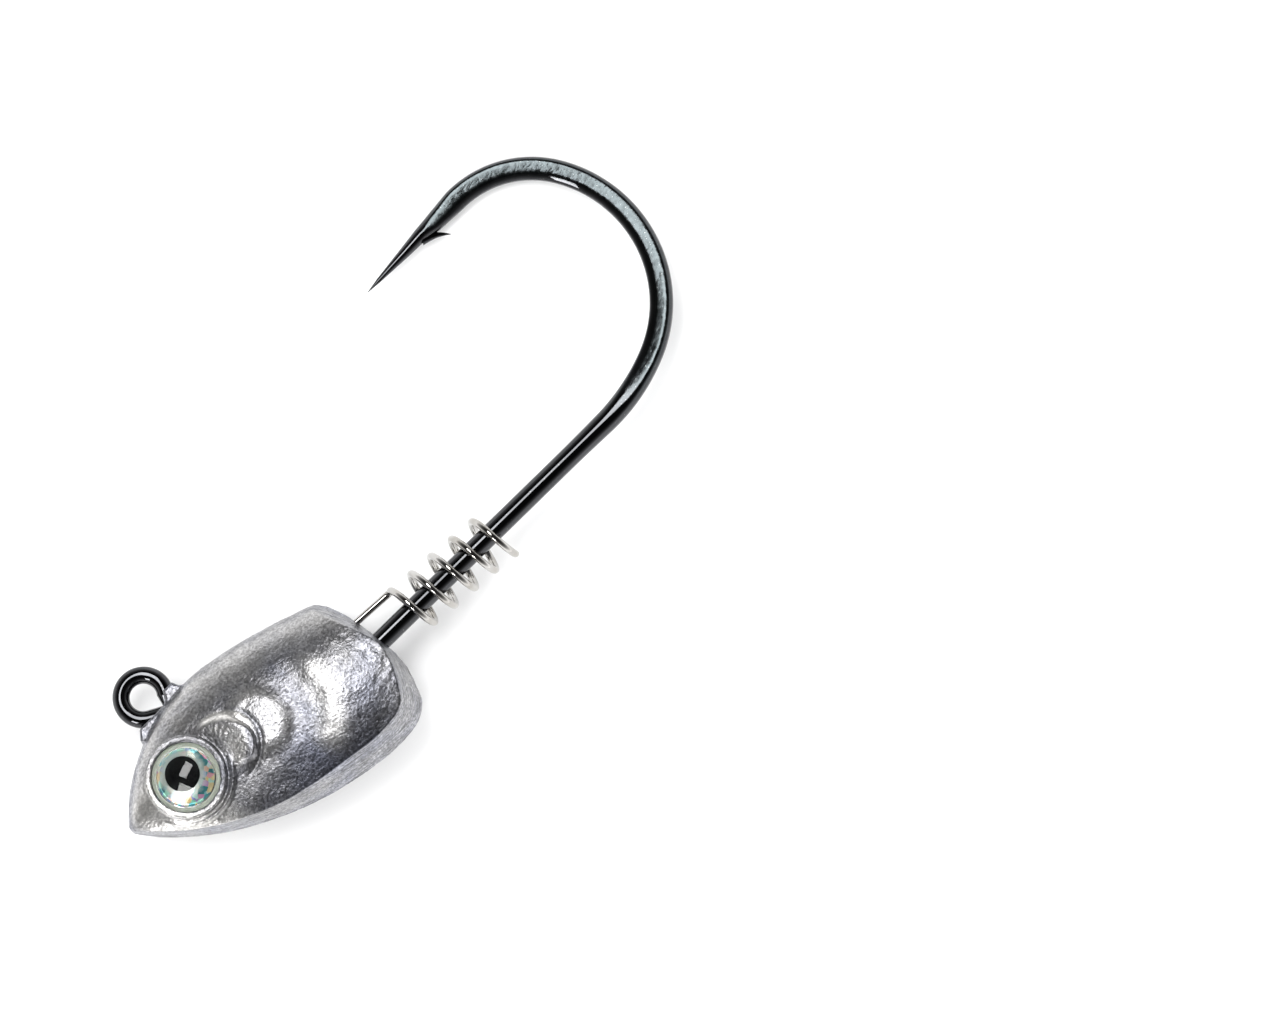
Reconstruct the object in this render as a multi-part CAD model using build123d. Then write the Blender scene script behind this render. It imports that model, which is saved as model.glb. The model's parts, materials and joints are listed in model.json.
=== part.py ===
from build123d import *
import os
from math import cos, radians, sin, tan

# A cast lead jig head on a flat-forged jig hook, with a wire screw keeper for the bait and
# two domed eyes. Millimetres. The hook lies in the plane z = 0. +X runs from the nose along the
# shank to the bend, +Y is the dorsal side and the side of the point, +Z is the fish's left.
# The origin is the centre of the line eye.

# Hook wire.
SHANK_WIRE = 2.1
EYE_WIRE = 1.75
EYE_RADIUS = 2.25            # centre of the eye to the centre of its wire
LINE_HOLE_RADIUS = 1.42
NECK_ANGLE = 28.4            # how far the neck leans from the shank
SHANK_Y = -12.68
NECK_BEND_RADIUS = 5.0
EYE_TAPER_START = -38.0      # where the wire of the eye starts to thin, degrees from +X
EYE_TAPER_LENGTH = 0.85
EYE_TIP_WIRE = 0.9

# Hook bend, point and barb.
BEND_START_X = 52.1
BEND_RADII = (20.9, 13.4, 14.0, 10.7)
BEND_TURNS = (22.9, 36.7, 61.9, 60.0)
BEND_WIDTH = 2.4             # the forging spreads the wire in the plane of the hook
FORGED_THICKNESS = 1.7
FORGING_START_X = 51.0
FORGING_FULL_X = 57.0
SPREAD_LENGTH = 4.0          # the stretch of shank over which the wire widens
POINT_STATIONS = (           # x, y and radius along the leg, from the bend to the tip
    (54.0, 13.93, 0.97),
    (52.4, 13.97, 0.76),
    (50.0, 13.82, 0.58),
    (48.0, 13.73, 0.41),
    (46.0, 13.63, 0.24),
    (44.4, 13.54, 0.05),
)
BARB_THICKNESS = 0.9
BARB_OUTER = ((51.4, 13.4), (53.1, 12.95), (54.5, 11.85))
BARB_INNER = ((54.5, 11.85), (53.75, 12.95), (53.3, 13.7))

# Bait keeper wire.
KEEPER_WIRE = 0.75
KEEPER_RADIUS = 2.62
KEEPER_PITCH = 2.67
KEEPER_TURNS = 4.5
KEEPER_TILT = -3.8           # the coil's axis from the shank, degrees about Z
KEEPER_START = (24.86, -12.38)
KEEPER_CORNER_RADIUS = 0.6
KEEPER_LEG_END_X = 16.0
KEEPER_LEG_SLOPE = -3.0
KEEPER_ANCHOR = 2.0          # the part of the leg that turns up inside the lead

# Head: x of each slice, height of the dorsal line, height of the belly line.
HEAD_SLICES = (
    (-10.1, -8.5, -9.3),
    (-9.0, -7.25, -10.75),
    (-7.2, -5.7, -12.6),
    (-4.6, -4.1, -14.8),
    (-1.0, -2.55, -17.0),
    (3.5, -1.9, -19.1),
    (8.5, -2.4, -20.7),
    (13.5, -3.65, -21.45),
    (18.5, -5.3, -21.5),
    (23.5, -7.3, -21.2),
)
HALF_THICKNESS = 6.0
THICKEST_X = 20.0
SNOUT_REACH = 30.4           # from there to where the nose would close
SNOUT_FULLNESS = 0.7         # below 1 makes the snout fuller than an ellipse, seen from above
BELOW_BELLY = 2.0            # how far the flanks run on below the belly line, to be trimmed there
RIDGE_FALL = 0.25            # the share of the thickness lost between the widest level and there
# Points of the drafted wall round the belly and the back: x and y at the parting plane, and how
# far the wall has come in at WALL_HEIGHT above it.
WALL_HEIGHT = 6.6
WALL_POINTS = (
    (-10.6, -8.5, 0.6, 0.2),
    (-9.4, -10.2, 0.4, 0.3),
    (-6.5, -13.15, 0.3, 0.35),
    (-1.5, -16.75, 0.3, 0.65),
    (4.5, -19.5, 0.3, 1.25),
    (11.0, -21.15, 0.1, 1.85),
    (16.0, -21.45, -0.2, 1.75),
    (19.0, -20.55, -1.2, 1.4),
    (20.5, -18.0, -1.3, 0.6),
    (21.1, -14.2, -0.6, 0.0),
    (20.5, -9.8, -1.3, -0.05),
    (19.3, -6.2, -2.0, -0.6),
    (16.8, -4.1, -1.0, -0.6),
)
WIDEST_SHARE = 0.6           # how far down from the dorsal line the head is thickest
ROUNDING = 0.62              # the pull of the rounded back's curves; 0.55 would be an ellipse
COLLAR_HALF_WIDTH = 1.6
COLLAR_OUTLINE = (
    (-3.3, -3.2),
    (-2.5, -2.25),
    (0.9, -2.2),
    (1.5, -1.9),
    (1.85, -1.1),
    (3.1, -1.05),
    (3.4, -1.75),
    (4.2, -2.6),
    (2.0, -4.5),
    (-2.0, -4.5),
)
COLLAR_FILLET = 0.3

# Eyes.
EYE_X = -2.4
EYE_Y = -9.5
EYE_Z = 4.2                 # the seat's floor on the eye's axis
EYE_LEAN = -6.0              # degrees about Y, with the snout's taper
EYE_ROLL = 1.0               # degrees about X, towards the belly
DOME_DIAMETER = 7.0
DOME_HEIGHT = 1.35
BACKING_THICKNESS = 0.4
FOIL_DIAMETER = 5.7
FOIL_THICKNESS = 0.1
PUPIL_DIAMETER = 3.5
PUPIL_THICKNESS = 0.1
PUPIL_SHIFT = 0.45           # the pupil sits above the centre of the eye
SOCKET_RIM_DIAMETER = 8.3
SOCKET_RIM_HEIGHT = 0.75     # above the seat's floor

os.makedirs("parts", exist_ok=True)


def circle_at(centre, direction, radius):
    return Plane(origin=centre, z_dir=direction) * Circle(radius)


def rod(start, end, start_radius, end_radius):
    """A straight round bar or cone from one point to another."""
    direction = Vector(*end) - Vector(*start)
    if start_radius == end_radius:
        bar = Solid.make_cylinder(start_radius, direction.length)
    else:
        bar = Solid.make_cone(start_radius, end_radius, direction.length)
    return Plane(origin=start, z_dir=direction).location * bar


def make_line_eye():
    """The ring of wire, open where its thinned end meets the neck."""
    neck_start = 270 - NECK_ANGLE
    wire = Plane(origin=(EYE_RADIUS, 0, 0), z_dir=(0, 1, 0)) * Circle(EYE_WIRE / 2)
    ring = revolve(wire, Axis.Z, revolution_arc=neck_start - EYE_TAPER_START)
    ring = Rot(0, 0, EYE_TAPER_START) * ring
    angle = radians(EYE_TAPER_START)
    start = (EYE_RADIUS * cos(angle), EYE_RADIUS * sin(angle), 0)
    end = (
        start[0] + EYE_TAPER_LENGTH * sin(angle),
        start[1] - EYE_TAPER_LENGTH * cos(angle),
        0,
    )
    tip = rod(start, end, EYE_WIRE / 2, EYE_TIP_WIRE / 2)
    land = Cylinder(LINE_HOLE_RADIUS, 2 * EYE_WIRE)
    return ring + tip - land


def make_neck_and_shank():
    lean = radians(NECK_ANGLE)
    start = Vector(-EYE_RADIUS * sin(lean), -EYE_RADIUS * cos(lean))
    corner_x = start.X + (start.Y - SHANK_Y) / tan(lean)
    tangent = NECK_BEND_RADIUS * tan(lean / 2)
    along_neck = Vector(cos(lean), -sin(lean))
    bend_in = Vector(corner_x, SHANK_Y) - along_neck * tangent
    neck = rod(start, bend_in, EYE_WIRE / 2, SHANK_WIRE / 2)
    bend = JernArc(bend_in, along_neck, NECK_BEND_RADIUS, NECK_ANGLE)
    shank = Line(bend @ 1, (BEND_START_X - SPREAD_LENGTH, SHANK_Y))
    section = circle_at(bend_in, along_neck, SHANK_WIRE / 2)
    return neck + sweep(section, path=Wire([bend.edge(), shank.edge()]))


def make_bend():
    """The bend, whose arcs run on into each other, and the start of the point leg."""
    spread_start = (BEND_START_X - SPREAD_LENGTH, SHANK_Y, 0)
    spread = rod(spread_start, (BEND_START_X, SHANK_Y, 0), SHANK_WIRE / 2, BEND_WIDTH / 2)
    start = Vector(BEND_START_X, SHANK_Y)
    heading = 0.0
    arcs = []
    for radius, turn in zip(BEND_RADII, BEND_TURNS):
        direction = (cos(radians(heading)), sin(radians(heading)))
        arc = JernArc(start, direction, radius, turn)
        arcs.append(arc.edge())
        start = arc @ 1
        heading += turn
    section = circle_at((BEND_START_X, SHANK_Y, 0), (1, 0, 0), BEND_WIDTH / 2)
    bend = sweep(section, path=Wire(arcs))
    return spread + bend, start, heading


def make_point(start, heading):
    """The needle point, lofted from the end of the bend to the tip."""
    direction = (cos(radians(heading)), sin(radians(heading)), 0)
    sections = [circle_at(start, direction, BEND_WIDTH / 2)]
    for x, y, radius in POINT_STATIONS:
        sections.append(circle_at((x, y, 0), (-1, 0, 0), radius))
    return loft(sections)


def make_barb():
    edges = Spline(*BARB_OUTER) + Spline(*BARB_INNER) + Line(BARB_INNER[-1], BARB_OUTER[0])
    return extrude(make_face(edges), BARB_THICKNESS / 2, both=True)


def make_forging_die():
    """The space left between the dies that flatten the bend and the barbed leg."""
    far_x = 75.0
    near_x = 40.0
    split_y = 2.0
    open_height = 3.0
    half = FORGED_THICKNESS / 2
    lower = Polyline(
        (near_x, open_height),
        (FORGING_START_X, SHANK_WIRE / 2 + 0.02),
        (FORGING_FULL_X, half),
        (far_x, half),
        (far_x, 0),
        (near_x, 0),
        close=True,
    )
    lower_face = Plane(origin=(0, split_y, 0), x_dir=(1, 0, 0), z_dir=(0, -1, 0)) * make_face(lower)
    lower_half = extrude(lower_face, split_y - SHANK_Y + 5)
    upper = Pos((near_x + far_x) / 2, split_y + 10, 0) * Box(far_x - near_x, 20, 2 * half)
    return lower_half + mirror(lower_half, Plane.XY) + upper


def make_hook():
    bend, leg_start, heading = make_bend()
    hooked_end = (bend + make_point(leg_start, heading) + make_barb()) & make_forging_die()
    return make_line_eye() + make_neck_and_shank() + hooked_end


def make_keeper():
    """Anchor, straight leg and corner, then the right-hand screw coil round the shank."""
    tilt = radians(KEEPER_TILT)
    axis = Vector(cos(tilt), sin(tilt), 0)
    up = Vector(-sin(tilt), cos(tilt), 0)
    coil_plane = Plane(origin=(*KEEPER_START, 0), x_dir=up, z_dir=axis)
    turns = Helix(KEEPER_PITCH, KEEPER_PITCH * KEEPER_TURNS, KEEPER_RADIUS)
    coil_path = coil_plane * turns
    coil_start = coil_path @ 0
    coil_tangent = coil_path % 0

    slope = radians(KEEPER_LEG_SLOPE)
    along_leg = Vector(cos(slope), sin(slope), 0)
    turn = along_leg.get_angle(coil_tangent)
    reach = KEEPER_CORNER_RADIUS * tan(radians(turn / 2))
    corner = coil_start - coil_tangent * reach
    leg_end = corner - along_leg * reach
    corner_arc = TangentArc(leg_end, coil_start, tangent=along_leg)
    leg_length = (leg_end.X - KEEPER_LEG_END_X) / cos(slope)
    leg_start = leg_end - along_leg * leg_length
    leg = Line(leg_start, leg_end)
    anchor_arc = JernArc(leg_start, along_leg * -1, 2 * KEEPER_WIRE, -90)
    anchor = Line(anchor_arc @ 1, anchor_arc @ 1 + (anchor_arc % 1) * KEEPER_ANCHOR)

    radius = KEEPER_WIRE / 2
    straight = Wire([anchor.edge(), anchor_arc.edge(), leg.edge(), corner_arc.edge()])
    foot = sweep(circle_at(anchor @ 1, anchor % 1, radius), path=straight)
    coil = sweep(circle_at(coil_start, coil_tangent, radius), path=Wire([coil_path.edge()]))
    return foot + coil


def half_thickness_at(x):
    share = max(0.0, (THICKEST_X - x) / SNOUT_REACH)
    return HALF_THICKNESS * (1 - share ** 2) ** (SNOUT_FULLNESS / 2)


def flank_section(x, top, belly):
    """Rounded above, gently falling below: one slice across the head."""
    middle = top - WIDEST_SHARE * (top - belly)
    bottom = belly - BELOW_BELLY
    thick = half_thickness_at(x)
    low = thick * (1 - RIDGE_FALL)
    outline = Line((bottom, -low), (bottom, low))
    for side in (1, -1):
        outline += Bezier(
            (top, 0),
            (top, side * thick * ROUNDING),
            (middle + (top - middle) * ROUNDING, side * thick),
            (middle, side * thick),
        )
        outline += Bezier(
            (middle, side * thick),
            ((middle + bottom) / 2, side * thick),
            (bottom, side * low),
        )
    return Plane(origin=(x, 0, 0), x_dir=(0, 1, 0), z_dir=(1, 0, 0)) * make_face(outline)


def make_pillow():
    """The two flanks and the rounded back of the fish, running on past belly and tail."""
    return loft([flank_section(*slice_lines) for slice_lines in HEAD_SLICES])


def wall_face(height, inward):
    points = [(x + dx * inward, y + dy * inward) for x, y, dx, dy in WALL_POINTS]
    first = points[0]
    last = points[-1]
    closing = Polyline(last, (last[0], 1.0), (-12.0, 1.0), (-12.0, first[1]), first)
    return Pos(0, 0, height) * make_face(Spline(*points) + closing)


def make_wall():
    """What the two mould halves leave inside their drafted belly and back walls."""
    left = loft([wall_face(0, 0), wall_face(WALL_HEIGHT, 1)], ruled=True)
    return left + mirror(left, Plane.XY)


def make_collar():
    """The lump of lead round the foot of the line eye."""
    block = extrude(make_face(Polyline(*COLLAR_OUTLINE, close=True)), COLLAR_HALF_WIDTH, both=True)
    top_edges = block.edges().filter_by(Axis.Z, reverse=True).filter_by_position(Axis.Y, -3.3, 0)
    return fillet(top_edges, COLLAR_FILLET)


def eye_plane():
    lean = Location((EYE_X, EYE_Y, EYE_Z), (EYE_ROLL, EYE_LEAN, 0))
    return Plane(lean)


def make_disc(diameter, thickness):
    """A flat disc standing on the plane z = 0."""
    return Cylinder(diameter / 2, thickness, align=(Align.CENTER, Align.CENTER, Align.MIN))


def make_eye_parts():
    """The left eye's backing, foil, pupil and dome, in place."""
    seat = eye_plane()
    backing = make_disc(DOME_DIAMETER, BACKING_THICKNESS)
    on_backing = Pos(0, 0, BACKING_THICKNESS)
    foil = on_backing * make_disc(FOIL_DIAMETER, FOIL_THICKNESS)
    on_foil = Pos(0, PUPIL_SHIFT, BACKING_THICKNESS + FOIL_THICKNESS)
    pupil = on_foil * make_disc(PUPIL_DIAMETER, PUPIL_THICKNESS)
    rim = DOME_DIAMETER / 2
    sphere_radius = (rim ** 2 + DOME_HEIGHT ** 2) / (2 * DOME_HEIGHT)
    ball = Pos(0, 0, BACKING_THICKNESS + DOME_HEIGHT - sphere_radius) * Sphere(sphere_radius)
    above = on_backing * make_disc(DOME_DIAMETER, 2 * DOME_HEIGHT)
    dome = (ball & above) - foil - pupil
    names = ("backing", "foil", "pupil", "dome")
    return {name: seat.location * shape for name, shape in zip(names, (backing, foil, pupil, dome))}


def make_head(hook, keeper):
    seat = eye_plane()
    rim_post = Pos(0, 0, -1.0) * Cylinder(
        SOCKET_RIM_DIAMETER / 2,
        SOCKET_RIM_HEIGHT + 1.0,
        align=(Align.CENTER, Align.CENTER, Align.MIN),
    )
    pocket = Cylinder(DOME_DIAMETER / 2, 3.0, align=(Align.CENTER, Align.CENTER, Align.MIN))
    left_rim = seat.location * rim_post
    left_pocket = seat.location * pocket
    head = make_pillow() + left_rim + mirror(left_rim, Plane.XY)
    head = head & make_wall()
    head = head + make_collar()
    head = head - left_pocket - mirror(left_pocket, Plane.XY)
    return head - hook - keeper


def build():
    hook = make_hook()
    keeper = make_keeper()
    parts = {"lead_head": make_head(hook, keeper), "hook": hook, "keeper_coil": keeper}
    for name, shape in make_eye_parts().items():
        parts["left_eye_" + name] = shape
        parts["right_eye_" + name] = mirror(shape, Plane.XY)
    for name, shape in parts.items():
        export_step(shape, "parts/" + name + ".step")


build()
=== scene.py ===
import json
import math

import bmesh
import bpy
import numpy as np
from mathutils import Matrix, Vector, noise

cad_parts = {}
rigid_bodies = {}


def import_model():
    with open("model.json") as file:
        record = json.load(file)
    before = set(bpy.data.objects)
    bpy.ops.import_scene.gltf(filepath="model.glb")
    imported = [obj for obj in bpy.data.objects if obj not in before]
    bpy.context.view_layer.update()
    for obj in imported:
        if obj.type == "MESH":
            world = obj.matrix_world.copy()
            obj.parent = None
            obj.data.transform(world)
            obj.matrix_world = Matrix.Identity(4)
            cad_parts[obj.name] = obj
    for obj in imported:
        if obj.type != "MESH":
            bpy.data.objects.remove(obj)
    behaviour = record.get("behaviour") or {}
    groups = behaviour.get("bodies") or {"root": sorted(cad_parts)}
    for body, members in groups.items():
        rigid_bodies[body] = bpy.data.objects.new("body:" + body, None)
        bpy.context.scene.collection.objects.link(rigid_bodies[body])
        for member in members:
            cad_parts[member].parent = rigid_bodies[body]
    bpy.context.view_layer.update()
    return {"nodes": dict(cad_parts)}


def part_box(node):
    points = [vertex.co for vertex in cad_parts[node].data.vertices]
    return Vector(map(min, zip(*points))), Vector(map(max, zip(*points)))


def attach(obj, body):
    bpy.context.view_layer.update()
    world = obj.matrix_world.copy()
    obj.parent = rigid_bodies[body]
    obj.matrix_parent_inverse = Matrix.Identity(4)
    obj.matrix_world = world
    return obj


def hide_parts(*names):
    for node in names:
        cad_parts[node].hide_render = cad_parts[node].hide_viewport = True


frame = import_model()
MM = 0.001

# The jig as it lies: on its right eye, its right flank and the side of the hook's bend.
LIE_ROLL = math.radians(8.01)
LIE_PITCH = math.radians(1.65)

# Hook, in millimetres, as in the CAD model.
EYE_RADIUS = 2.25
EYE_WIRE_RADIUS = 0.875
EYE_TIP_ANGLE = math.radians(-38.0)
EYE_TIP_LENGTH = 0.85
EYE_TIP_RADIUS = 0.45
NECK_LEAN = math.radians(28.4)
NECK_BEND_RADIUS = 5.0
SHANK_Y = -12.68
SHANK_RADIUS = 1.05
BEND_START_X = 52.1
BEND_ARCS = ((20.9, 22.9), (13.4, 36.7), (14.0, 61.9), (10.7, 60.0))    # radius, degrees
BEND_WIRE_RADIUS = 1.2
POINT_STATIONS = (    # x, y and the wire's radius
    (54.0, 13.93, 0.97),
    (52.4, 13.97, 0.76),
    (50.0, 13.82, 0.58),
    (48.0, 13.73, 0.41),
    (46.0, 13.63, 0.24),
    (44.42, 13.54, 0.035),
)
BARB_ROOT = Vector((52.0, 13.45, 0.0))
BARB_TIP = Vector((54.5, 11.85, 0.0))
BARB_BOW = 0.22

# The hook's mesh: points round each section, and millimetres from one section to the next.
HOOK_SEGMENTS = 48
BARB_SEGMENTS = 20
RING_STEP = 0.12
NECK_STEP = 0.4
CORNER_STEP = 0.3
SHANK_STEP = 0.25
BEND_STEP = 0.16

# Forging: the dies' half gap, one too wide to touch the wire, and the dies' lean at the two ends
# of the bend.
FLAT_HALF = 0.85
ROUND_HALF = 1.4
FLAT_LEAN = (math.radians(12.5), math.radians(3.0))
FLAT_LEAN_Y = (-10.0, 12.0)
FLAT_EDGE_POWER = 10

# Where along X, from none to full, the wire is forged, widened and marked as flat, on the shank's
# side and the point's side of the bend. Last, the half thickness from which it counts as flat.
FORGED_SHANK_SIDE = (47.0, 61.0)
FORGED_POINT_SIDE = (51.6, 53.6)
WIDENED_SHANK_SIDE = (46.5, 57.0)
MARKED_SHANK_SIDE = (51.0, 61.0)
MARKED_POINT_SIDE = (51.6, 54.0)
MARKED_HALF = (0.70, 0.80)

# Bait keeper.
KEEPER_RADIUS = 0.375
COIL_RADIUS = 2.62
COIL_PITCH = 2.67
COIL_TURNS = 4.5
COIL_TILT = math.radians(-3.8)
COIL_START = Vector((24.86, -12.38, 0.0))
LEG_SLOPE = math.radians(-3.0)
LEG_END_X = 16.0
CORNER_RADIUS = 0.6
ANCHOR_RADIUS = 1.5
ANCHOR_LENGTH = 2.0
KEEPER_SEGMENTS = 24

# Eyes. The resin's lean is that of its flat underside.
EYE_LEAN = math.radians(-6.0)
EYE_ROLL = math.radians(1.0)
DOME_RADIUS = 3.5
DOME_HEIGHT = 1.35
BACKING_THICKNESS = 0.4
FOIL_RADIUS = 2.85
PUPIL_RADIUS = 1.65
PUPIL_SHIFT = 0.45
RESIN_LEAN = math.radians(2.7)
RESIN_LEAN_TO = (0.70, 0.716)

# Lead, in millimetres: the mesh's grid, the line of the back, and the centres and radii of the
# moulded shapes on a flank.
VOXEL = 0.11
BACK_X = (-7.2, -4.6, -1.0, 3.5, 8.5, 13.5, 18.5, 23.5)
BACK_Y = (-5.7, -4.1, -2.55, -1.9, -2.4, -3.65, -5.3, -7.3)
GILL_CENTRE = (2.15, -10.05)
GILL_STRETCH = (1.1, 1.0)
GILL_RADIUS = 3.45
SECOND_CENTRE = (6.7, -10.6)
SECOND_STRETCH = (1.0, 1.2)
SECOND_RADIUS = 3.4
VALLEY_CENTRE = (5.2, -10.6)
VALLEY_RADIUS = 6.1
THIRD_CENTRE = (7.0, -11.0)
THIRD_RADIUS = 6.0

# Cast surface: height in millimetres, noise scale and seed.
CAST_NOISE = ((0.05, 0.55, 1), (0.010, 2.4, 2), (0.008, 5.2, 3))
EDGE_NOISE = (0.07, 1.1, 4)
PARTING_HEIGHT = 0.05
PARTING_WIDTH = 0.09

# Stage, in metres. An aim is a distance along the jig and one across it.
FLOOR_HALF = 3.0
CAMERA_DISTANCE = 1.2
CAMERA_FRAME_WIDTH = 0.1274
CAMERA_TURN = math.radians(44.3)
CAMERA_AIM = (0.0479, -0.0216)
LAMP_DISTANCE = 0.6
LAMP_AIM = (0.02, -0.01)

# World: height of the direction looked in, and brightness there.
MIRRORED_STOPS = ((0.0, 1.8), (0.15, 1.15), (0.34, 0.5), (0.58, 0.14), (0.78, 0.03))
ROOM_STOPS = ((0.0, 1.8), (0.3, 1.45), (0.6, 1.2), (1.0, 1.15))


# ---------------------------------------------------------------- meshes

def new_object(name, vertices, faces, smooth=True):
    """An object from vertices in millimetres."""
    mesh = bpy.data.meshes.new(name)
    mesh.from_pydata([tuple(c * MM for c in v) for v in vertices], [], faces)
    mesh.validate()
    mesh.polygons.foreach_set("use_smooth", [smooth] * len(mesh.polygons))
    mesh.update()
    piece = bpy.data.objects.new(name, mesh)
    bpy.context.scene.collection.objects.link(piece)
    return piece


def apply_modifiers(piece):
    view = bpy.context.evaluated_depsgraph_get()
    mesh = bpy.data.meshes.new_from_object(piece.evaluated_get(view))
    piece.modifiers.clear()
    piece.data = mesh


def smoothstep(low, high, value):
    """From 0 at low to 1 at high, with soft ends. low may be the greater of the two."""
    share = np.clip((value - low) / (high - low), 0.0, 1.0)
    return share * share * (3 - 2 * share)


def between(value, rise, fall):
    """1 between two soft edges, each given as (start, end), and 0 outside them."""
    return smoothstep(*rise, value) * (1 - smoothstep(*fall, value))


def tube(name, centres, sides, rings, segments):
    """A closed tube. sides are unit vectors across it at each centre, and rings gives, for each
    centre, the section's points as (along side, along the other way) in millimetres."""
    vertices = []
    count = len(centres)
    for index, (centre, side) in enumerate(zip(centres, sides)):
        ahead = centres[min(index + 1, count - 1)] - centres[max(index - 1, 0)]
        other = ahead.cross(side).normalized()
        for across, up in rings[index]:
            vertices.append(centre + side * across + other * up)
    faces = []
    for index in range(count - 1):
        start = index * segments
        for step in range(segments):
            after = (step + 1) % segments
            faces.append((
                start + step,
                start + after,
                start + segments + after,
                start + segments + step,
            ))
    first = len(vertices)
    vertices.append(centres[0])
    vertices.append(centres[-1])
    last_ring = (count - 1) * segments
    for step in range(segments):
        after = (step + 1) % segments
        faces.append((first, after, step))
        faces.append((first + 1, last_ring + step, last_ring + after))
    return new_object(name, vertices, faces)


def round_ring(radius, segments):
    """A circle's points as (across, up)."""
    angles = [2 * math.pi * k / segments for k in range(segments)]
    return [(radius * math.cos(angle), radius * math.sin(angle)) for angle in angles]


def arc_points(start, heading, radius, turn, step):
    """Points along an arc in the hook's plane, without its first one. Positive turns left."""
    count = max(2, int(abs(turn) * radius / step))
    sign = 1 if turn > 0 else -1
    centre = start + Vector((-math.sin(heading), math.cos(heading), 0)) * radius * sign
    points = []
    for k in range(1, count + 1):
        angle = heading + turn * k / count
        points.append(centre + Vector((math.sin(angle), -math.cos(angle), 0)) * radius * sign)
    return points


def line_points(start, end, step):
    count = max(1, int((end - start).length / step))
    return [start.lerp(end, k / count) for k in range(1, count + 1)]


def lathe(name, profile, place):
    """A solid turned from (radius, height) points, which run from the axis out and back to it."""
    segments = 128
    vertices = [Vector((0, 0, profile[0][1]))]
    for radius, height in profile[1:-1]:
        for k in range(segments):
            angle = 2 * math.pi * k / segments
            vertices.append(Vector((radius * math.cos(angle), radius * math.sin(angle), height)))
    vertices.append(Vector((0, 0, profile[-1][1])))
    faces = []
    rings = len(profile) - 2
    for k in range(segments):
        after = (k + 1) % segments
        faces.append((0, 1 + after, 1 + k))
        top = 1 + (rings - 1) * segments
        faces.append((len(vertices) - 1, top + k, top + after))
        for ring in range(rings - 1):
            low = 1 + ring * segments
            faces.append((low + k, low + after, low + segments + after, low + segments + k))
    piece = new_object(name, [place @ v for v in vertices], faces)
    fix_normals(piece)
    return piece


def fix_normals(piece):
    work = bmesh.new()
    work.from_mesh(piece.data)
    bmesh.ops.recalc_face_normals(work, faces=work.faces)
    work.to_mesh(piece.data)
    work.free()


def shade_by_angle(piece, degrees):
    """Smooth shading that keeps edges sharper than the angle."""
    work = bmesh.new()
    work.from_mesh(piece.data)
    limit = math.radians(degrees)
    for edge in work.edges:
        edge.smooth = not (edge.is_manifold and edge.calc_face_angle(0.0) > limit)
    work.to_mesh(piece.data)
    work.free()


# ---------------------------------------------------------------- materials

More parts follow.
